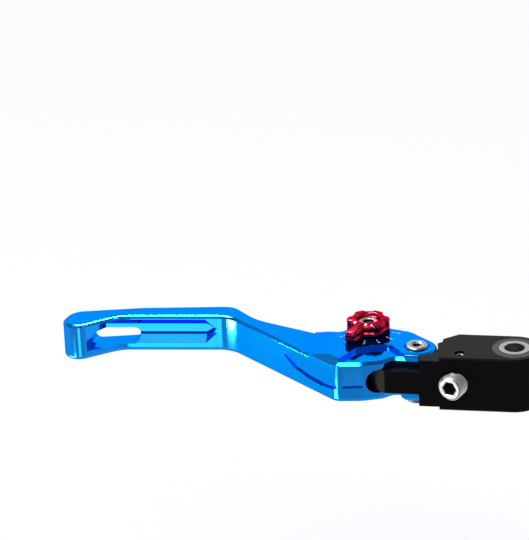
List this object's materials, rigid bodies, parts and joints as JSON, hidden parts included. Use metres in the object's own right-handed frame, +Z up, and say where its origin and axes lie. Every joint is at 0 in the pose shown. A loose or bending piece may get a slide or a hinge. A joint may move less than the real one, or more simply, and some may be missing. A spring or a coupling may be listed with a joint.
{
  "type": "adjustable clutch lever",
  "caption": "Handlebar clutch lever: a cranked blade hinged on a pivot block, a star knob with an eccentric that sets its reach, and a push-rod set screw.",
  "frame": {"origin": "centre of the main pivot bore, at the lever's mid-plane", "axes": "+Z up along the main pivot; -X towards the fingertip end, so X is the longest extent; +Y towards the handlebar grip"},
  "size_m": [0.1927, 0.0544, 0.028],
  "materials": {
    "blue_anodised": "glossy blue anodising over polished aluminium",
    "black_anodised": "satin black anodising",
    "red_anodised": "glossy crimson anodising",
    "stainless_steel": "turned stainless steel",
    "plated_steel": "bright zinc-plated steel",
    "dark_steel": "phosphated steel, satin grey",
    "spring_steel": "bare spring steel",
    "bronze": "oil-filled sintered bronze",
    "seal_rubber": "matte black rubber",
    "low_friction_plastic": "plain off-white bearing plastic"
  },
  "bodies": {
    "root": {"pivot_sleeve": "plated_steel"},
    "adapter": {"adapter": "black_anodised", "pivot_bush": "bronze", "pivot_seals": "seal_rubber", "tongue_bush": "bronze", "thrust_washers": "low_friction_plastic", "adjuster_lock_screw": "dark_steel", "reach_spring": "spring_steel"},
    "blade": {"lever_blade": "blue_anodised", "blade_pivot_screw": "stainless_steel", "blade_pivot_nut": "dark_steel", "selector_upper_bush": "bronze", "selector_lower_bush": "bronze", "selector_circlip": "dark_steel", "detent_spring": "spring_steel"},
    "selector": {"selector_knob": "red_anodised", "selector_shaft": "stainless_steel", "selector_screw": "stainless_steel", "selector_oring": "seal_rubber"},
    "detent": {"detent_ball": "stainless_steel"},
    "push_pad": {"push_pad": "plated_steel"},
    "adjuster": {"adjuster_screw": "plated_steel"}
  },
  "joints": [
    {"name": "lever_pull", "type": "hinge", "parent": "root", "child": "adapter", "pos_m": [0, 0, 0], "axis": [0, 0, -1], "range_deg": [0, 20]},
    {"name": "blade_reach", "type": "hinge", "parent": "adapter", "child": "blade", "pos_m": [-0.0378, 0.0014, 0], "axis": [0, 0, -1], "range_deg": [-1.5, 6], "deforming": ["reach_spring"]},
    {"name": "selector_turn", "type": "hinge", "parent": "blade", "child": "selector", "pos_m": [-0.0582, 0.0146, 0], "axis": [0, 0, 1], "range_deg": [-27, 108]},
    {"name": "detent_press", "type": "slide", "parent": "blade", "child": "detent", "axis": [0, 0, -1], "range_m": [0, 0.0004], "stiffness_N_per_m": 200, "deforming": ["detent_spring"]},
    {"name": "adjuster_advance", "type": "slide", "parent": "adapter", "child": "push_pad", "axis": [0.3584, 0.9336, 0], "range_m": [-0.002, 0.002]},
    {"name": "adjuster_turn", "type": "hinge", "parent": "push_pad", "child": "adjuster", "pos_m": [-0.0223, -0.011, 0], "axis": [0.3584, 0.9336, 0], "range_deg": [-720, 720]}
  ],
  "couplings": [
    {"joint": "selector_turn", "follows": "blade_reach", "ratio": 18},
    {"joint": "adjuster_turn", "follows": "adjuster_advance", "rad_per_m": 6283.1}
  ]
}
